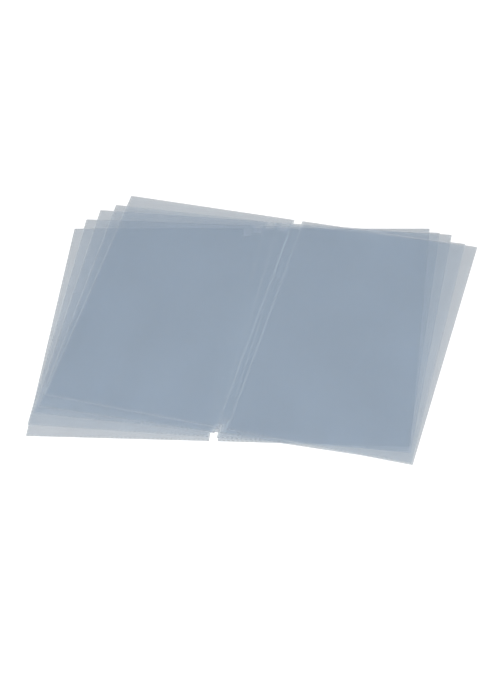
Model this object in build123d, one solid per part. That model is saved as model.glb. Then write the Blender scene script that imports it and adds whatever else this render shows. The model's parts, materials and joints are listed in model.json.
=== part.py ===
from build123d import *
import math
import os

# A fan of five clear two-page sheet protectors, in millimetres, lying on the plane z = 0.
# +X runs across the pages, +Y up the page along the middle sheet's spine, +Z up.
# The origin is under the middle of the fan's box.

# The paper that a pocket takes, and the room around it
PAPER_WIDTH = 210.0
PAPER_HEIGHT = 297.0
SIDE_PLAY = 4.0
HEAD_ROOM = 5.0

# The seams that join the two films of a pocket
EDGE_WELD_WIDTH = 3.0
BOTTOM_WELD_WIDTH = 3.0
SPINE_WELD_WIDTH = 3.0

# The strip that folds between the pockets, and the cord notches at its ends
STRIP_WIDTH = 10.0
NOTCH_DEPTH = 12.0

# Film, and the room inside a pocket and between two sheets
FILM_THICKNESS = 0.15
POCKET_GAP = 0.2
SHEET_CLEARANCE = 0.1
OUTER_CORNER_RADIUS = 1.0

# The fan, from the lowest sheet to the top one: each sheet's turn in degrees, counter-clockwise,
# and the place of its spine's foot
FAN_TURNS = (5.0, 2.3, 0.0, -2.8, -5.3)
FAN_FEET = ((0.8, -162.7), (-1.0, -158.7), (1.6, -152.2), (5.1, -153.3), (7.6, -146.5))

# Worked out from the sizes above
LEAF_WIDTH = EDGE_WELD_WIDTH + PAPER_WIDTH + SIDE_PLAY + SPINE_WELD_WIDTH
LEAF_HEIGHT = BOTTOM_WELD_WIDTH + PAPER_HEIGHT + HEAD_ROOM
LEAF_INNER_EDGE = STRIP_WIDTH / 2
LEAF_OUTER_EDGE = LEAF_INNER_EDGE + LEAF_WIDTH
STRIP_HEIGHT = LEAF_HEIGHT - 2 * NOTCH_DEPTH
FRONT_FILM_LEVEL = FILM_THICKNESS + POCKET_GAP
SHEET_THICKNESS = FRONT_FILM_LEVEL + FILM_THICKNESS
SHEET_PITCH = SHEET_THICKNESS + SHEET_CLEARANCE
SHEET_COUNT = len(FAN_TURNS)

LEFT = -1
RIGHT = 1
SIDE_NAMES = {LEFT: "left", RIGHT: "right"}


def turned(x, y, degrees):
    """A point turned about the origin."""
    c = math.cos(math.radians(degrees))
    s = math.sin(math.radians(degrees))
    return x * c - y * s, x * s + y * c


def fan_middle():
    """The middle of the fan's outline: a rounded sheet reaches one corner radius past its corner centres."""
    half_width = LEAF_OUTER_EDGE - OUTER_CORNER_RADIUS
    rows = (OUTER_CORNER_RADIUS, LEAF_HEIGHT - OUTER_CORNER_RADIUS)
    xs = []
    ys = []
    for turn, foot in zip(FAN_TURNS, FAN_FEET):
        for x in (-half_width, half_width):
            for y in rows:
                dx, dy = turned(x, y, turn)
                xs.append(foot[0] + dx)
                ys.append(foot[1] + dy)
    return (min(xs) + max(xs)) / 2, (min(ys) + max(ys)) / 2


FAN_MIDDLE = fan_middle()


def sheet_foot(number):
    """The foot of a sheet's spine on its underside, in the part's frame."""
    x, y = FAN_FEET[number - 1]
    return x - FAN_MIDDLE[0], y - FAN_MIDDLE[1], (number - 1) * SHEET_PITCH


def sheet_place(number):
    """Carries a sheet drawn with its spine's foot at the origin to its place in the fan."""
    return Location(sheet_foot(number), (0, 0, FAN_TURNS[number - 1]))


def band(left, right, bottom, top):
    """A rectangle between two columns and two rows."""
    return Pos((left + right) / 2, (bottom + top) / 2) * Rectangle(right - left, top - bottom)


def side_band(side, inner, outer, bottom, top):
    """A rectangle given by its distances from the spine, on the left or right of it."""
    left, right = sorted((side * inner, side * outer))
    return band(left, right, bottom, top)


def leaf_outline(side):
    """One page of a sheet: square at the spine, with rounded outer corners."""
    page = side_band(side, LEAF_INNER_EDGE, LEAF_OUTER_EDGE, 0, LEAF_HEIGHT)
    outer_corners = page.vertices().group_by(Axis.X)[0 if side == LEFT else -1]
    return fillet(outer_corners, OUTER_CORNER_RADIUS)


def slab(outline, level, thickness):
    """A flat outline given its thickness, upwards from its level in the sheet."""
    return extrude(Pos(0, 0, level) * outline, amount=thickness, dir=(0, 0, 1))


def back_film(side):
    return slab(leaf_outline(side), 0, FILM_THICKNESS)


def front_film(side):
    return slab(leaf_outline(side), FRONT_FILM_LEVEL, FILM_THICKNESS)


def weld(side, inner, outer, bottom, top):
    """A seam fills the gap between the films and follows the page's rounded corners."""
    outline = leaf_outline(side) & side_band(side, inner, outer, bottom, top)
    return slab(outline, FILM_THICKNESS, POCKET_GAP)


def edge_weld(side):
    return weld(side, LEAF_OUTER_EDGE - EDGE_WELD_WIDTH, LEAF_OUTER_EDGE, BOTTOM_WELD_WIDTH, LEAF_HEIGHT)


def bottom_weld(side):
    return weld(side, LEAF_INNER_EDGE, LEAF_OUTER_EDGE, 0, BOTTOM_WELD_WIDTH)


def spine_weld(side):
    return weld(side, LEAF_INNER_EDGE, LEAF_INNER_EDGE + SPINE_WELD_WIDTH, BOTTOM_WELD_WIDTH, LEAF_HEIGHT)


def spine_strip():
    """Both films between the pockets, shorter than the pages by a notch at each end."""
    outline = band(-LEAF_INNER_EDGE, LEAF_INNER_EDGE, NOTCH_DEPTH, NOTCH_DEPTH + STRIP_HEIGHT)
    back = slab(outline, 0, FILM_THICKNESS)
    front = slab(outline, FRONT_FILM_LEVEL, FILM_THICKNESS)
    return [back, front]


def sheet_pieces(number):
    """All pieces of one sheet in the fan, by name."""
    place = sheet_place(number)
    name = f"sheet_{number}"
    strips = [place * solid for solid in spine_strip()]
    pieces = {f"{name}_spine_strip": Compound(children=strips)}
    makers = {
        "back_film": back_film,
        "front_film": front_film,
        "edge_weld": edge_weld,
        "bottom_weld": bottom_weld,
        "spine_weld": spine_weld,
    }
    for side, side_name in SIDE_NAMES.items():
        for piece_name, make in makers.items():
            pieces[f"{name}_{side_name}_{piece_name}"] = place * make(side)
    return pieces


def main():
    os.makedirs("parts", exist_ok=True)
    for number in range(1, SHEET_COUNT + 1):
        for name, piece in sheet_pieces(number).items():
            export_step(piece, f"parts/{name}.step")


if __name__ == "__main__":
    main()
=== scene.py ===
"""Dresses a fan of clear two-page sheet protectors: pocket films, pressed seams and folding spines."""

import json
import math
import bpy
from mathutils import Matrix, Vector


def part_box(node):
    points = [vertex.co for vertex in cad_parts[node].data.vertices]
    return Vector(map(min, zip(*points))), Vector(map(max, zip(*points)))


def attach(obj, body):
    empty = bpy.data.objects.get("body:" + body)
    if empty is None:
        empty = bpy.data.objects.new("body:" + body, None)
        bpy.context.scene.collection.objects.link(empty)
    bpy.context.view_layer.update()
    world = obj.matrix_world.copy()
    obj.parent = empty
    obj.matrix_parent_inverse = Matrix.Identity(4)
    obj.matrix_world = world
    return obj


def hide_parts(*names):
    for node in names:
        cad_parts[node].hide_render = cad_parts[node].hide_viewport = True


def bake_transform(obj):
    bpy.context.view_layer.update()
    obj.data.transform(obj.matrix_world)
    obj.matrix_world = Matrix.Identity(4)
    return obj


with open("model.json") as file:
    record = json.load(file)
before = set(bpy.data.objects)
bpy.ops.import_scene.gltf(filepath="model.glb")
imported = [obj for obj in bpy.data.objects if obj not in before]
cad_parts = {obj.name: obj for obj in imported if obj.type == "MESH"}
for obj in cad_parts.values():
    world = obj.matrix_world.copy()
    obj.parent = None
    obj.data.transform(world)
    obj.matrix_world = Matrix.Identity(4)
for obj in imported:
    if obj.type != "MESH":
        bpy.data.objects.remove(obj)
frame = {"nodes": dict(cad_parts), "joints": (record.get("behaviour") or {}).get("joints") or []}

from types import SimpleNamespace

import bpy
import numpy as np
from mathutils import Quaternion, Vector

bl_info = {
    "name": "Sheet Protector Fan",
    "version": (1, 0, 0),
    "blender": (4, 5, 0),
    "location": "3D View > Sidebar > Sheet Protector",
    "description": "Makes the films, seams and spines of a fan of clear sheet protectors",
    "category": "Object",
}

MM = 0.001
TINY = 1e-9
SIDES = {"left": -1, "right": 1}
SEAM_KINDS = ("edge", "bottom", "spine")
# The bright cut edge and film edge finishes are painted highlights, light tints standing in for the glint
# on the film's cut rims; the dark bar finish is painted shade of the pressed bars' relief.
FINISHES = (
    "satin_film", "seam_milk", "seam_bar_shade", "cut_edge_highlight", "seam_dot", "crease", "film_edge_highlight", "film_shade",
)
FILM, MILK, BAR_SHADE, CUT_HIGHLIGHT, DOT, CREASE, EDGE_HIGHLIGHT, SHADE = range(len(FINISHES))
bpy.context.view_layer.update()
FOLDS = {joint["name"]: joint for joint in frame["joints"] if joint["name"].startswith("fold_")}
SHEET_NUMBERS = range(1, len(FOLDS) + 1)


def read_sheet_sizes():
    """Sizes of one sheet in metres, read from the sheet of the fan whose spine lies along Y."""
    square = next(n for n in SHEET_NUMBERS if abs(FOLDS[f"fold_{n}"]["axis"][0]) < TINY)
    foot = Vector(FOLDS[f"fold_{square}"]["pos_m"])
    page = f"sheet_{square}_right"
    back_low, back_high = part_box(f"{page}_back_film")
    front_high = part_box(f"{page}_front_film")[1]
    return SimpleNamespace(
        inner=back_low.x - foot.x,
        outer=back_high.x - foot.x,
        height=back_high.y - foot.y,
        film=back_high.z - back_low.z,
        thickness=front_high.z - back_low.z,
        edge_seam=back_high.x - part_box(f"{page}_edge_weld")[0].x,
        bottom_seam=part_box(f"{page}_bottom_weld")[1].y - foot.y,
        spine_seam=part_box(f"{page}_spine_weld")[1].x - back_low.x,
        notch=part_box(f"sheet_{square}_spine_strip")[0].y - foot.y,
    )


SHEET = read_sheet_sizes()


class FilmSettings(bpy.types.PropertyGroup):
    """The clear film of the pockets."""

    tint: bpy.props.FloatVectorProperty(
        name="Tint", description="Colour of the haze in the film", subtype="COLOR",
        default=(0.42, 0.53, 0.655), min=0.0, max=1.0)
    alpha: bpy.props.FloatProperty(
        name="Haze", description="Share of light that one face of the film stops", subtype="FACTOR",
        default=0.06, min=0.0, max=1.0)
    roughness: bpy.props.FloatProperty(
        name="Roughness", description="Roughness of the satin surface", subtype="FACTOR",
        default=0.32, min=0.0, max=1.0)
    variation: bpy.props.FloatProperty(
        name="Cloudiness", description="How much the haze varies over a page", subtype="FACTOR",
        default=0.14, min=0.0, max=1.0)
    shoulder: bpy.props.FloatProperty(
        name="Shoulder", description="Width over which a film comes down into a seam", unit="LENGTH",
        default=5.0 * MM)
    ripple: bpy.props.FloatProperty(
        name="Ripple", description="Height of the slow waves in a film", unit="LENGTH",
        default=0.03 * MM)
    ripple_length: bpy.props.FloatProperty(
        name="Ripple length", description="Length of the slow waves in a film", unit="LENGTH",
        default=95.0 * MM)
    # The bright edge of a single film is a painted highlight: a light tint standing in for the glint on the
    # cut rim at a pocket's mouth and at the strip's ends.
    edge_width: bpy.props.FloatProperty(
        name="Edge", description="Width of the bright edge of a single film", unit="LENGTH",
        default=0.7 * MM)
    edge_highlight_tint: bpy.props.FloatVectorProperty(
        name="Edge tint", description="Colour of that edge", subtype="COLOR",
        default=(0.72, 0.78, 0.84), min=0.0, max=1.0)
    edge_highlight_alpha: bpy.props.FloatProperty(
        name="Edge haze", description="Share of light that one face of that edge stops", subtype="FACTOR",
        default=0.18, min=0.0, max=1.0)
    shade_width: bpy.props.FloatProperty(
        name="Shade", description="Width of the shaded line inside a pocket's mouth", unit="LENGTH",
        default=0.9 * MM)
    shade_tint: bpy.props.FloatVectorProperty(
        name="Shade tint", description="Colour of that line", subtype="COLOR",
        default=(0.26, 0.31, 0.37), min=0.0, max=1.0)
    shade_alpha: bpy.props.FloatProperty(
        name="Shade haze", description="Share of light that one face of that line stops", subtype="FACTOR",
        default=0.04, min=0.0, max=1.0)


class SeamSettings(bpy.types.PropertyGroup):
    """The seams where both films are pressed together."""

    pressed: bpy.props.FloatProperty(
        name="Pressed thickness", description="Thickness of both films in a seam", unit="LENGTH",
        default=0.30 * MM)
    pressed_film: bpy.props.FloatProperty(
        name="Pressed film", description="Thickness of one film where it enters a seam", unit="LENGTH",
        default=0.12 * MM)
    tuck: bpy.props.FloatProperty(
        name="Tuck", description="How far a film reaches into a seam", unit="LENGTH", default=0.4 * MM)
    bar_pitch: bpy.props.FloatProperty(
        name="Bar pitch", description="Distance between the pressed bars", unit="LENGTH", default=5.4 * MM)
    bar_share: bpy.props.FloatProperty(
        name="Bar share", description="Share of the pitch that a bar takes up", subtype="FACTOR",
        default=0.5, min=0.1, max=0.9)
    dot_pitch: bpy.props.FloatProperty(
        name="Dot pitch", description="Distance between the dots beside the spine", unit="LENGTH",
        default=12.0 * MM)
    dot_share: bpy.props.FloatProperty(
        name="Dot share", description="Share of the pitch that a dot takes up", subtype="FACTOR",
        default=0.38, min=0.1, max=0.9)
    bar_slope: bpy.props.FloatProperty(
        name="Bar slope", description="Length over which a bar or dot rises", unit="LENGTH",
        default=0.4 * MM)
    bar_height: bpy.props.FloatProperty(
        name="Bar height", description="Height of a bar on each face of a seam", unit="LENGTH",
        default=0.07 * MM)
    # The bright cut edge is a painted highlight: a light tint standing in for the glint on the film's cut
    # rim.
    cut_highlight_width: bpy.props.FloatProperty(
        name="Cut edge", description="Width of the bright edge where the film is cut", unit="LENGTH",
        default=0.9 * MM)
    bar_width: bpy.props.FloatProperty(
        name="Bar width", description="Width of the row of bars inside the cut edge", unit="LENGTH",
        default=1.0 * MM)
    corner: bpy.props.FloatProperty(
        name="Corner radius", description="Radius of a page's outer corners", unit="LENGTH",
        default=1.0 * MM)
    milk_tint: bpy.props.FloatVectorProperty(
        name="Seam tint", description="Colour of the pressed film", subtype="COLOR",
        default=(0.62, 0.73, 0.83), min=0.0, max=1.0)
    milk_alpha: bpy.props.FloatProperty(
        name="Seam haze", description="Share of light that one face of a seam stops", subtype="FACTOR",
        default=0.10, min=0.0, max=1.0)
    # The bars' dark tint is painted shade standing in for the shading of their small relief.
    bar_shade_tint: bpy.props.FloatVectorProperty(
        name="Bar tint", description="Colour of the bars along a cut edge", subtype="COLOR",
        default=(0.16, 0.20, 0.25), min=0.0, max=1.0)
    bar_shade_alpha: bpy.props.FloatProperty(
        name="Bar haze", description="Share of light that one face of a bar stops", subtype="FACTOR",
        default=0.16, min=0.0, max=1.0)
    # Tint and haze of that painted highlight on the cut edge.
    cut_highlight_tint: bpy.props.FloatVectorProperty(
        name="Cut tint", description="Colour of the cut edge", subtype="COLOR",
        default=(0.78, 0.85, 0.92), min=0.0, max=1.0)
    cut_highlight_alpha: bpy.props.FloatProperty(
        name="Cut haze", description="Share of light that one face of a cut edge stops", subtype="FACTOR",
        default=0.17, min=0.0, max=1.0)
    dot_tint: bpy.props.FloatVectorProperty(
        name="Dot tint", description="Colour of the dots beside the spine", subtype="COLOR",
        default=(0.70, 0.82, 0.92), min=0.0, max=1.0)
    dot_alpha: bpy.props.FloatProperty(
        name="Dot haze", description="Share of light that one face of a dot stops", subtype="FACTOR",
        default=0.10, min=0.0, max=1.0)


class StripSettings(bpy.types.PropertyGroup):
    """The strip of film that folds between the two pages of a sheet."""

    crease: bpy.props.FloatProperty(
        name="Crease", description="Width of the whitened crease", unit="LENGTH", default=0.9 * MM)
    crease_tint: bpy.props.FloatVectorProperty(
        name="Crease tint", description="Colour of the stressed film in the crease", subtype="COLOR",
        default=(0.52, 0.65, 0.79), min=0.0, max=1.0)
    crease_alpha: bpy.props.FloatProperty(
        name="Crease haze", description="Share of light that one face of the crease stops",
        subtype="FACTOR", default=0.08, min=0.0, max=1.0)
    bend: bpy.props.FloatProperty(
        name="Bend", description="Width of the strip that bends in a fold", unit="LENGTH", default=1.2 * MM)
    swell: bpy.props.FloatProperty(
        name="Swell", description="How far the two films part in the middle", unit="LENGTH",
        default=0.04 * MM)


class StageSettings(bpy.types.PropertyGroup):
    """Camera, floor and light."""

    target: bpy.props.FloatVectorProperty(
        name="Target", description="Point of the floor that the camera looks at", subtype="TRANSLATION",
        unit="LENGTH", default=(7.14 * MM, -16.0 * MM, 0.0))
    azimuth: bpy.props.FloatProperty(
        name="Azimuth", description="Where the camera stands round the fan", subtype="ANGLE",
        default=math.radians(26.2))
    elevation: bpy.props.FloatProperty(
        name="Elevation", description="Height of the camera above the horizon", subtype="ANGLE",
        default=math.radians(54.34))
    roll: bpy.props.FloatProperty(
        name="Roll", description="Turn of the camera about its own axis", subtype="ANGLE",
        default=math.radians(-16.68))
    distance: bpy.props.FloatProperty(
        name="Distance", description="From the camera to its target", unit="LENGTH", default=1.9625)
    lens: bpy.props.FloatProperty(
        name="Lens", description="Focal length for a 36 mm long side", unit="CAMERA", default=88.5)
    floor: bpy.props.FloatVectorProperty(
        name="Floor", description="Colour of the floor under the film", subtype="COLOR",
        default=(0.65, 0.66, 0.67), min=0.0, max=1.0)
    floor_size: bpy.props.FloatProperty(
        name="Floor size", description="Side of the floor", unit="LENGTH", default=8.0)
    floor_drop: bpy.props.FloatProperty(
        name="Floor drop", description="Room between the floor and the lowest film", unit="LENGTH",
        default=0.2 * MM)
    sky: bpy.props.FloatProperty(
        name="Sky", description="Level of the even light from all round", default=0.8, min=0.0)
    lamp: bpy.props.FloatProperty(
        name="Lamp", description="Power of the soft lamp in watts", unit="POWER", default=9.0, min=0.0)
    lamp_size: bpy.props.FloatProperty(
        name="Lamp size", description="Side of the soft lamp", unit="LENGTH", default=1.0)
    lamp_place: bpy.props.FloatVectorProperty(
        name="Lamp place", description="Where the soft lamp hangs", subtype="TRANSLATION", unit="LENGTH",
        default=(0.2, -1.1, 1.2))


def new_node(tree, kind, **settings):
    """A new node with its plain settings."""
    made = tree.nodes.new(kind)
    for name, value in settings.items():
        setattr(made, name, value)
    return made


def noise(tree, place, scale, detail):
    """The value of a noise texture at a place."""
    texture = new_node(tree, "ShaderNodeTexNoise")
    texture.inputs["Scale"].default_value = scale
    texture.inputs["Detail"].default_value = detail
    tree.links.new(place, texture.inputs["Vector"])
    return texture.outputs["Fac"]


def combine(tree, operation, first, second):
    """Two values joined by one math operation; either may be a plain number."""
    made = new_node(tree, "ShaderNodeMath", operation=operation)
    for socket, value in zip(made.inputs, (first, second)):
        if isinstance(value, bpy.types.NodeSocket):
            tree.links.new(value, socket)
        else:
            socket.default_value = value
    return made.outputs["Value"]


CLOUD_SCALE = 11.0
STREAK_STRETCH = (90.0, 4.0, 1.0)
GRAIN_SCALE = 500.0


def film_haze():
    """Cloudiness, drawing streaks and grain of cast film, as a tint and a height.

    The shade is one plus the variation times how far a cloud noise and a noise stretched up the page lie
    from their middle. The grain gives the height.
    """
    found = bpy.data.node_groups.get("film_haze")
    if found:
        return found
    group = bpy.data.node_groups.new("film_haze", "ShaderNodeTree")
    sockets = group.interface
    sockets.new_socket("Place", in_out="INPUT", socket_type="NodeSocketVector")
    sockets.new_socket("Tint", in_out="INPUT", socket_type="NodeSocketColor")
    sockets.new_socket("Variation", in_out="INPUT", socket_type="NodeSocketFloat")
    sockets.new_socket("Tint", in_out="OUTPUT", socket_type="NodeSocketColor")
    sockets.new_socket("Height", in_out="OUTPUT", socket_type="NodeSocketFloat")
    given = new_node(group, "NodeGroupInput").outputs
    result = new_node(group, "NodeGroupOutput").inputs
    stretched = new_node(group, "ShaderNodeVectorMath", operation="MULTIPLY")
    stretched.inputs[1].default_value = STREAK_STRETCH
    group.links.new(given["Place"], stretched.inputs[0])
    cloud = noise(group, given["Place"], CLOUD_SCALE, 1.0)
    streak = noise(group, stretched.outputs["Vector"], 1.0, 0.0)
    drift = combine(group, "SUBTRACT", combine(group, "ADD", cloud, streak), 1.0)
    shade = combine(group, "ADD", combine(group, "MULTIPLY", drift, given["Variation"]), 1.0)
    tinted = new_node(group, "ShaderNodeVectorMath", operation="SCALE")
    group.links.new(given["Tint"], tinted.inputs[0])
    group.links.new(shade, tinted.inputs["Scale"])
    group.links.new(tinted.outputs["Vector"], result["Tint"])
    group.links.new(noise(group, given["Place"], GRAIN_SCALE, 0.0), result["Height"])
    return group


BUMP_STRENGTH = 0.25
BUMP_HEIGHT = 0.02 * MM
FILM_IOR = 1.49


def film_material(name, tint, alpha, roughness, variation):
    """Film seen through: haze of one tint, as thick as its alpha, under a satin surface."""
    found = bpy.data.materials.get(name)
    if found:
        return found
    material = bpy.data.materials.new(name)
    material.use_nodes = True
    tree = material.node_tree
    shader = tree.nodes["Principled BSDF"]
    shader.inputs["IOR"].default_value = FILM_IOR
    shader.inputs["Roughness"].default_value = roughness
    shader.inputs["Alpha"].default_value = alpha
    haze = new_node(tree, "ShaderNodeGroup", node_tree=film_haze())
    haze.inputs["Tint"].default_value = (*tint, 1.0)
    haze.inputs["Variation"].default_value = variation
    place = new_node(tree, "ShaderNodeUVMap", uv_map="page")
    bump = new_node(tree, "ShaderNodeBump")
    bump.inputs["Strength"].default_value = BUMP_STRENGTH
    bump.inputs["Distance"].default_value = BUMP_HEIGHT
    tree.links.new(place.outputs["UV"], haze.inputs["Place"])
    tree.links.new(haze.outputs["Tint"], shader.inputs["Base Color"])
    tree.links.new(haze.outputs["Height"], bump.inputs["Height"])
    tree.links.new(bump.outputs["Normal"], shader.inputs["Normal"])
    return material


def finish(index):
    """The material of one finish."""
    film = bpy.context.scene.protector_film
    seam = bpy.context.scene.protector_seam
    strip = bpy.context.scene.protector_strip
    looks = {
        FILM: (film.tint, film.alpha),
        MILK: (seam.milk_tint, seam.milk_alpha),
        BAR_SHADE: (seam.bar_shade_tint, seam.bar_shade_alpha),
        CUT_HIGHLIGHT: (seam.cut_highlight_tint, seam.cut_highlight_alpha),
        DOT: (seam.dot_tint, seam.dot_alpha),
        CREASE: (strip.crease_tint, strip.crease_alpha),
        EDGE_HIGHLIGHT: (film.edge_highlight_tint, film.edge_highlight_alpha),
        SHADE: (film.shade_tint, film.shade_alpha),
    }
    tint, alpha = looks[index]
    return film_material(FINISHES[index], tint, alpha, film.roughness, film.variation)


def smooth(share):
    """Rises from 0 to 1 with level ends: three squares less two cubes of the share, held within 0 and 1."""
    held = np.clip(share, 0.0, 1.0)
    return held * held * (3.0 - 2.0 * held)


GRID_DIGITS = 9


def lines(*stretches):
    """Grid lines from several stretches, each a start, an end and a count of steps, joined in order."""
    parts = [np.linspace(start, stop, steps + 1) for start, stop, steps in stretches]
    return np.unique(np.round(np.concatenate(parts), GRID_DIGITS))


def placed(number, across, along, level):
    """Points of a sheet in the part's frame: across from its spine, along it, and up from its underside."""
    fold = FOLDS[f"fold_{number}"]
    up = np.array((0.0, 0.0, 1.0))
    spine = np.array(fold["axis"])
    sideways = np.cross(spine, up)
    foot = np.array(fold["pos_m"]) - up * SHEET.thickness
    across, along, level = np.broadcast_arrays(across, along, level)
    return foot + across[..., None] * sideways + along[..., None] * spine + level[..., None] * up


def closed_shell(upper):
    """Faces of a grid of points and its twin below, joined round their rims, and the rim in order.

    The first cell tells which way round the grid runs, and the faces are turned so that they look outwards.
    """
    rows, columns = upper.shape[:2]
    count = rows * columns
    index = np.arange(count).reshape(rows, columns)
    cells = np.stack([index[:-1, :-1], index[:-1, 1:], index[1:, 1:], index[1:, :-1]], -1).reshape(-1, 4)
    rim = np.concatenate([index[0, :-1], index[:-1, -1], index[-1, :0:-1], index[:0:-1, 0]])
    ahead = np.roll(rim, -1)
    walls = np.stack([rim + count, ahead + count, ahead, rim], -1)
    faces = np.concatenate([cells, cells[:, ::-1] + count, walls])
    first_turn = np.cross(upper[0, 1] - upper[0, 0], upper[1, 0] - upper[0, 0])[2]
    if first_turn < 0:
        faces = faces[:, ::-1]
    return faces, rim, ahead


def shell_part(number, side, across, along, upper, lower, rule):
    """One closed shell of a sheet: its points, faces, page places and finishes.

    The finish of a cell or a wall is what the rule says at its middle.
    """
    across, along, upper, lower = np.broadcast_arrays(across, along, upper, lower)
    top = placed(number, side * across, along, upper)
    bottom = placed(number, side * across, along, lower)
    faces, rim, ahead = closed_shell(top)
    page = np.stack([across, along], -1)
    middles = (page[:-1, :-1] + page[:-1, 1:] + page[1:, 1:] + page[1:, :-1]) / 4
    cells = rule(middles[..., 0], middles[..., 1]).ravel()
    flat = page.reshape(-1, 2)
    wall_middles = (flat[rim] + flat[ahead]) / 2
    walls = rule(wall_middles[:, 0], wall_middles[:, 1])
    return SimpleNamespace(
        points=np.concatenate([top.reshape(-1, 3), bottom.reshape(-1, 3)]),
        faces=faces,
        page=np.concatenate([flat * (side, 1), flat * (side, 1)]),
        finishes=np.concatenate([cells, cells, walls]),
    )


def add_piece(name, *shells):
    """A mesh object at the origin from closed shells, with its page places as a UV map."""
    starts = np.cumsum([0] + [len(shell.points) for shell in shells[:-1]])
    points = np.concatenate([shell.points for shell in shells])
    faces = np.concatenate([shell.faces + start for shell, start in zip(shells, starts)])
    page = np.concatenate([shell.page for shell in shells])
    finishes = np.concatenate([shell.finishes for shell in shells])
    used = np.unique(finishes)
    mesh = bpy.data.meshes.new(name)
    mesh.from_pydata(points.tolist(), [], faces.tolist())
    for index in used:
        mesh.materials.append(finish(int(index)))
    mesh.polygons.foreach_set("material_index", np.searchsorted(used, finishes).astype(np.int32))
    places = mesh.uv_layers.new(name="page")
    places.uv.foreach_set("vector", page[faces.ravel()].astype(np.float32).ravel())
    mesh.validate()
    piece = bpy.data.objects.new(name, mesh)
    bpy.context.scene.collection.objects.link(piece)
    return piece


def stand_for(piece, node, body):
    """The piece takes a CAD node's place: the node is hidden, and the piece goes on the given body if there
    is one.
    """
    if node not in frame["nodes"]:
        raise RuntimeError(f"the frame has no node named {node}")
    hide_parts(node)
    if body:
        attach(piece, body)


def film_lift(across, along):
    """How far a film stands clear of the seams, from 0 in a seam to 1 in the pocket.

    It is the product of three smooth rises, one from each welded side; the mouth has none.
    """
    width = bpy.context.scene.protector_film.shoulder
    from_spine = smooth((across - SHEET.inner - SHEET.spine_seam) / width)
    from_edge = smooth((SHEET.outer - SHEET.edge_seam - across) / width)
    from_bottom = smooth((along - SHEET.bottom_seam) / width)
    return from_spine * from_edge * from_bottom


RIPPLE_STRETCH = 1.3


def film_ripple(across, along, phase):
    """Slow waves of a film, from 0 to 1: half of one plus the product of two sines."""
    width = bpy.context.scene.protector_film.ripple_length
    height = RIPPLE_STRETCH * width
    waves = np.sin(math.tau * across / width + phase) * np.sin(math.tau * along / height - phase)
    return (1.0 + waves) / 2


SHOULDER_STEPS = 6
PAGE_STEPS = 16


def pocket_film(number, side, is_front):
    """One wall of a pocket: level over the pocket, rippled, and brought down to the mid-plane in the seams.

    Its upper level runs from the pressed film's to the pocket's by the film's lift, less the ripple. A back
    film is the same wall mirrored in the sheet's mid-plane.
    """
    film = bpy.context.scene.protector_film
    seam = bpy.context.scene.protector_seam
    left = SHEET.inner + SHEET.spine_seam
    right = SHEET.outer - SHEET.edge_seam
    low = SHEET.bottom_seam
    mouth_shade = SHEET.height - film.edge_width - film.shade_width
    columns = lines(
        (left - seam.tuck, left, 1), (left, left + film.shoulder, SHOULDER_STEPS),
        (left + film.shoulder, right - film.shoulder, PAGE_STEPS),
        (right - film.shoulder, right, SHOULDER_STEPS), (right, right + seam.tuck, 1))
    rows = lines(
        (low - seam.tuck, low, 1), (low, low + film.shoulder, SHOULDER_STEPS),
        (low + film.shoulder, mouth_shade, PAGE_STEPS),
        (mouth_shade, SHEET.height - film.edge_width, 1), (SHEET.height - film.edge_width, SHEET.height, 1))
    across, along = np.meshgrid(columns, rows)
    lift = film_lift(across, along)
    middle = SHEET.thickness / 2
    free_upper = SHEET.thickness - film.ripple * film_ripple(across, along, number + side / 2)
    upper = (middle + seam.pressed_film) * (1 - lift) + free_upper * lift
    lower = upper - seam.pressed_film * (1 - lift) - SHEET.film * lift
    if not is_front:
        upper, lower = SHEET.thickness - lower, SHEET.thickness - upper

    def rule(across, along):
        from_mouth = SHEET.height - along
        finishes = np.full(across.shape, FILM)
        finishes[from_mouth < film.edge_width + film.shade_width] = SHADE
        # The mouth's edge band gets a painted highlight.
        finishes[from_mouth < film.edge_width] = EDGE_HIGHLIGHT
        return finishes

    return shell_part(number, side, across, along, upper, lower, rule)


class PROTECTOR_OT_pocket_films(bpy.types.Operator):
    """Makes the front and back films of every pocket"""

    bl_idname = "protector.pocket_films"
    bl_label = "Pocket Films"

    def execute(self, context):
        for number in SHEET_NUMBERS:
            for side_name, side in SIDES.items():
                for layer in ("back", "front"):
                    page = f"sheet_{number}_{side_name}"
                    film = add_piece(f"{page}_{layer}_wall", pocket_film(number, side, layer == "front"))
                    stand_for(film, f"{page}_{layer}_film", f"{page}_page")
        return {"FINISHED"}


NOTCH_FINENESS = 2


def free_distance(across, along):
    """Distance of a place on a page from the nearest edge that is cut free.

    Those are the bottom, the outer side, the mouth, and the inner side within a notch, which counts double
    because a punch leaves a finer edge there.
    """
    in_notch = (along < SHEET.notch) | (along > SHEET.height - SHEET.notch)
    from_notch = np.where(in_notch, NOTCH_FINENESS * (across - SHEET.inner), SHEET.outer)
    from_ends = np.minimum(along, SHEET.height - along)
    return np.minimum(np.minimum(from_ends, SHEET.outer - across), from_notch)


def bar_row(kind):
    """Pitch of the bars or dots of a seam, and the length of one, in metres."""
    seam = bpy.context.scene.protector_seam
    if kind == "spine":
        return seam.dot_pitch, seam.dot_pitch * seam.dot_share
    return seam.bar_pitch, seam.bar_pitch * seam.bar_share


def bar_rise(station, kind):
    """Height of the bars along a seam, from 0 in a gap to 1 on a bar, with straight slopes at both ends."""
    pitch, length = bar_row(kind)
    place = np.mod(station, pitch)
    return np.clip(np.minimum(place, length - place) / bpy.context.scene.protector_seam.bar_slope, 0.0, 1.0)


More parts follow.
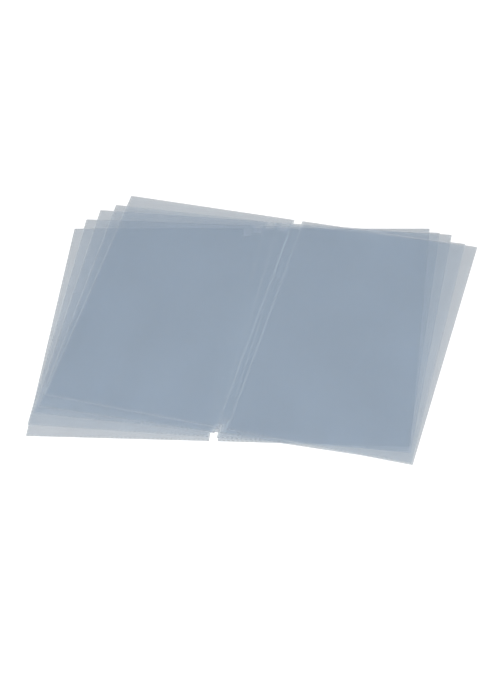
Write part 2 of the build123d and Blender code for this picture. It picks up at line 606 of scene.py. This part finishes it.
def bar_stations(start, stop, breaks, kind):
    """Grid lines along a seam: the four corners of every bar between its ends, and the given breaks."""
    slope = bpy.context.scene.protector_seam.bar_slope
    pitch, length = bar_row(kind)
    corners = np.array((0.0, slope, length - slope, length))
    pitches = np.arange(math.floor(start / pitch), math.ceil(stop / pitch) + 1)
    stations = (pitches[:, None] * pitch + corners).ravel()
    ends = np.array((start, stop, *breaks))
    clear = np.abs(stations[:, None] - ends).min(1) > slope / 2
    inside = (stations > start) & (stations < stop)
    return np.unique(np.round(np.concatenate([stations[clear & inside], ends]), GRID_DIGITS))


def corner_inset(from_end, radius):
    """How far a rounded corner draws its side in, at a distance from the end.

    It is the radius less the half chord there.
    """
    short = np.clip(radius - from_end, 0.0, radius)
    return radius - np.sqrt(radius * radius - short * short)


CORNER_STEPS = 5
CUT_STEPS = 2
BAR_STEPS = 4
FLAT_STEPS = 2


def pressed_seam(number, side, kind):
    """A ribbon of both films pressed together, with a row of bars on both faces.

    Each face lies half the pressed thickness from the mid-plane, plus the bar height times the rise of the
    bars along the seam and an arch of a half sine across their row. The free end of an edge or bottom
    seam is drawn in along the page's rounded corner.
    """
    seam = bpy.context.scene.protector_seam
    width = {"edge": SHEET.edge_seam, "bottom": SHEET.bottom_seam, "spine": SHEET.spine_seam}[kind]
    row_start = seam.cut_highlight_width
    row_stop = seam.cut_highlight_width + seam.bar_width
    offsets = lines(
        (0.0, row_start, CUT_STEPS), (row_start, row_stop, BAR_STEPS), (row_stop, width, FLAT_STEPS))
    radius = seam.corner
    if kind == "bottom":
        start, stop, end = SHEET.inner, SHEET.outer, SHEET.outer
        breaks = [start + row_start / 2, stop - row_stop, stop - row_start]
    else:
        start, stop, end = SHEET.bottom_seam, SHEET.height, SHEET.height
        breaks = [stop - row_stop, stop - row_start]
    if kind == "spine":
        breaks += [SHEET.notch, SHEET.height - SHEET.notch]
    else:
        turns = np.linspace(0.0, math.pi / 2, CORNER_STEPS, endpoint=False)
        breaks += list(end - radius * (1 - np.sin(turns)))
    stations, offsets = np.meshgrid(bar_stations(start, stop, breaks, kind), offsets, indexing="ij")
    arch = np.sin(np.pi * np.clip((offsets - row_start) / seam.bar_width, 0.0, 1.0))
    half = seam.pressed / 2 + seam.bar_height * bar_rise(stations, kind) * arch
    if kind != "spine":
        inset = corner_inset(end - stations, radius)
        offsets = inset + offsets * (width - inset) / width
    across, along = {
        "edge": (SHEET.outer - offsets, stations),
        "bottom": (stations, offsets),
        "spine": (SHEET.inner + offsets, stations),
    }[kind]
    middle = SHEET.thickness / 2

    def rule(across, along):
        from_side, station = {
            "edge": (SHEET.outer - across, along),
            "bottom": (along, across),
            "spine": (across - SHEET.inner, along),
        }[kind]
        in_row = (from_side > row_start) & (from_side < row_stop)
        finishes = np.full(across.shape, MILK)
        # The bars of edge and bottom seams get a dark tint: painted shade of their relief.
        finishes[in_row & (bar_rise(station, kind) > 0)] = DOT if kind == "spine" else BAR_SHADE
        # Along every cut edge a light tint paints a highlight.
        finishes[free_distance(across, along) < row_start] = CUT_HIGHLIGHT
        return finishes

    return shell_part(number, side, across, along, middle + half, middle - half, rule)


class PROTECTOR_OT_pressed_seams(bpy.types.Operator):
    """Makes the edge, bottom and spine seams of every pocket"""

    bl_idname = "protector.pressed_seams"
    bl_label = "Pressed Seams"

    def execute(self, context):
        for number in SHEET_NUMBERS:
            for side_name, side in SIDES.items():
                for kind in SEAM_KINDS:
                    page = f"sheet_{number}_{side_name}"
                    seam = add_piece(f"{page}_{kind}_seam", pressed_seam(number, side, kind))
                    stand_for(seam, f"{page}_{kind}_weld", f"{page}_page")
        return {"FINISHED"}


STRIP_STEPS = 5
BEND_STEPS = 12
STRIP_ROWS = 24


def strip_film(number, is_front):
    """One film of the strip between the pages, with its ends at the floors of the notches.

    Its upper level is that of the pressed film, raised by the swell times a half sine across the strip. The
    back film is mirrored in the mid-plane.
    """
    film = bpy.context.scene.protector_film
    seam = bpy.context.scene.protector_seam
    strip = bpy.context.scene.protector_strip
    reach = SHEET.inner + seam.tuck
    bend = strip.bend / 2
    crease = strip.crease / 2
    columns = lines((-reach, -bend, STRIP_STEPS), (-bend, bend, BEND_STEPS), (bend, reach, STRIP_STEPS),
                    (-crease, crease, 1))
    low = SHEET.notch
    high = SHEET.height - SHEET.notch
    border = film.edge_width
    rows = lines(
        (low, low + border, 1), (low + border, high - border, STRIP_ROWS), (high - border, high, 1))
    across, along = np.meshgrid(columns, rows)
    middle = SHEET.thickness / 2
    upper = middle + seam.pressed_film + strip.swell * np.cos(across / reach * math.pi / 2)
    lower = upper - seam.pressed_film
    if not is_front:
        upper, lower = SHEET.thickness - lower, SHEET.thickness - upper

    def rule(across, along):
        from_floor = np.minimum(along - low, high - along)
        finishes = np.full(across.shape, FILM)
        finishes[np.abs(across) < crease] = CREASE
        # The strip's ends at the notch floors get the same painted highlight.
        finishes[from_floor < border] = EDGE_HIGHLIGHT
        return finishes

    return shell_part(number, SIDES["right"], across, along, upper, lower, rule)


class PROTECTOR_OT_spine_strips(bpy.types.Operator):
    """Makes the strip of film between the two pages of every sheet, with fine columns across its middle"""

    bl_idname = "protector.spine_strips"
    bl_label = "Spine Strips"

    def execute(self, context):
        bend = context.scene.protector_strip.bend / 2
        for number in SHEET_NUMBERS:
            sheet = f"sheet_{number}"
            strip = add_piece(f"{sheet}_fold", strip_film(number, False), strip_film(number, True))
            stand_for(strip, f"{sheet}_spine_strip", None)
            start = placed(number, bend, 0.0, SHEET.thickness)
            end = placed(number, -bend, 0.0, SHEET.thickness)
            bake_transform(strip)
        return {"FINISHED"}


FIRST_FACE = 0.5


def seen_plainly(tree):
    """1 for a glossy or transmission ray and for a camera ray that has passed no film, 0 for the rest."""
    path = new_node(tree, "ShaderNodeLightPath").outputs
    bare = combine(tree, "LESS_THAN", path["Transparent Depth"], FIRST_FACE)
    direct = combine(tree, "MULTIPLY", path["Is Camera Ray"], bare)
    bounced = combine(tree, "MAXIMUM", path["Is Glossy Ray"], path["Is Transmission Ray"])
    return combine(tree, "MAXIMUM", direct, bounced)


WHITE = (1.0, 1.0, 1.0)
FLOOR_GLOW = 0.2


def floor_material(tint):
    """A pale matt floor under the film, and a white one where nothing lies over it.

    Both keep their shadows.
    """
    material = bpy.data.materials.new("pale_floor")
    material.use_nodes = True
    tree = material.node_tree
    pale = tree.nodes["Principled BSDF"]
    white = new_node(tree, "ShaderNodeBsdfPrincipled")
    for shader, colour in ((pale, tint), (white, WHITE)):
        shader.inputs["Base Color"].default_value = (*colour, 1.0)
        shader.inputs["Roughness"].default_value = 1.0
        shader.inputs["Specular IOR Level"].default_value = 0.0
    white.inputs["Emission Color"].default_value = (*WHITE, 1.0)
    white.inputs["Emission Strength"].default_value = FLOOR_GLOW
    mix = new_node(tree, "ShaderNodeMixShader")
    tree.links.new(seen_plainly(tree), mix.inputs["Fac"])
    tree.links.new(pale.outputs["BSDF"], mix.inputs[1])
    tree.links.new(white.outputs["BSDF"], mix.inputs[2])
    tree.links.new(mix.outputs["Shader"], tree.nodes["Material Output"].inputs["Surface"])
    return material


def add_floor(stage):
    """A square floor just under the lowest film."""
    half = stage.floor_size / 2
    ring = np.array(((-1, -1), (1, -1), (1, 1), (-1, 1))) * half
    points = np.column_stack([ring, np.full(len(ring), -stage.floor_drop)])
    mesh = bpy.data.meshes.new("floor")
    mesh.from_pydata(points.tolist(), [], [range(len(ring))])
    mesh.materials.append(floor_material(stage.floor))
    floor = bpy.data.objects.new("floor", mesh)
    bpy.context.scene.collection.objects.link(floor)


def add_sky(level):
    """An even light from all round, seen as white."""
    world = bpy.data.worlds.new("studio")
    world.use_nodes = True
    tree = world.node_tree
    light = tree.nodes["Background"]
    light.inputs["Color"].default_value = (*WHITE, 1.0)
    strength = combine(tree, "MAXIMUM", seen_plainly(tree), level)
    tree.links.new(strength, light.inputs["Strength"])
    bpy.context.scene.world = world


def add_lamp(stage):
    """A soft square lamp aimed at the camera's target."""
    data = bpy.data.lights.new("soft_lamp", "AREA")
    data.energy = stage.lamp
    data.size = stage.lamp_size
    lamp = bpy.data.objects.new("soft_lamp", data)
    lamp.location = stage.lamp_place
    lamp.rotation_euler = (Vector(stage.target) - lamp.location).to_track_quat("-Z", "Y").to_euler()
    bpy.context.scene.collection.objects.link(lamp)


def add_camera(stage):
    """A camera at an azimuth and elevation round its target, rolled about its own axis."""
    data = bpy.data.cameras.new("camera")
    data.lens = stage.lens
    camera = bpy.data.objects.new("camera", data)
    level = math.cos(stage.elevation)
    back = Vector((
        math.sin(stage.azimuth) * level, -math.cos(stage.azimuth) * level, math.sin(stage.elevation)))
    camera.location = Vector(stage.target) + back * stage.distance
    camera.rotation_mode = "QUATERNION"
    camera.rotation_quaternion = (-back).to_track_quat("-Z", "Y") @ Quaternion((0.0, 0.0, 1.0), stage.roll)
    bpy.context.scene.collection.objects.link(camera)
    bpy.context.scene.camera = camera


FACES_SEEN_THROUGH = 128


class PROTECTOR_OT_stage(bpy.types.Operator):
    """Makes the floor, the light and the camera"""

    bl_idname = "protector.stage"
    bl_label = "Stage"

    def execute(self, context):
        scene = context.scene
        stage = scene.protector_stage
        add_floor(stage)
        add_sky(stage.sky)
        add_lamp(stage)
        add_camera(stage)
        scene.view_settings.view_transform = "Standard"
        scene.cycles.transparent_max_bounces = FACES_SEEN_THROUGH
        return {"FINISHED"}


class PROTECTOR_PT_panel(bpy.types.Panel):
    """Sizes and colours of the fan, and the steps that make it"""

    bl_label = "Sheet Protector"
    bl_idname = "PROTECTOR_PT_panel"
    bl_space_type = "VIEW_3D"
    bl_region_type = "UI"
    bl_category = "Sheet Protector"

    def draw(self, context):
        for operator in OPERATORS:
            self.layout.operator(operator.bl_idname)
        for name in SETTINGS:
            settings = getattr(context.scene, name)
            box = self.layout.box()
            for key in settings.bl_rna.properties.keys():
                if key not in ("name", "rna_type"):
                    box.prop(settings, key)


SETTINGS = {
    "protector_film": FilmSettings,
    "protector_seam": SeamSettings,
    "protector_strip": StripSettings,
    "protector_stage": StageSettings,
}
OPERATORS = (
    PROTECTOR_OT_pocket_films,
    PROTECTOR_OT_pressed_seams,
    PROTECTOR_OT_spine_strips,
    PROTECTOR_OT_stage,
)
CLASSES = (*SETTINGS.values(), *OPERATORS, PROTECTOR_PT_panel)


def register():
    for made in CLASSES:
        bpy.utils.register_class(made)
    for name, settings in SETTINGS.items():
        setattr(bpy.types.Scene, name, bpy.props.PointerProperty(type=settings))


def unregister():
    for name in SETTINGS:
        delattr(bpy.types.Scene, name)
    for made in reversed(CLASSES):
        bpy.utils.unregister_class(made)


def main():
    register()
    bpy.ops.protector.pocket_films()
    bpy.ops.protector.pressed_seams()
    bpy.ops.protector.spine_strips()
    bpy.ops.protector.stage()


if __name__ == "__main__":
    main()
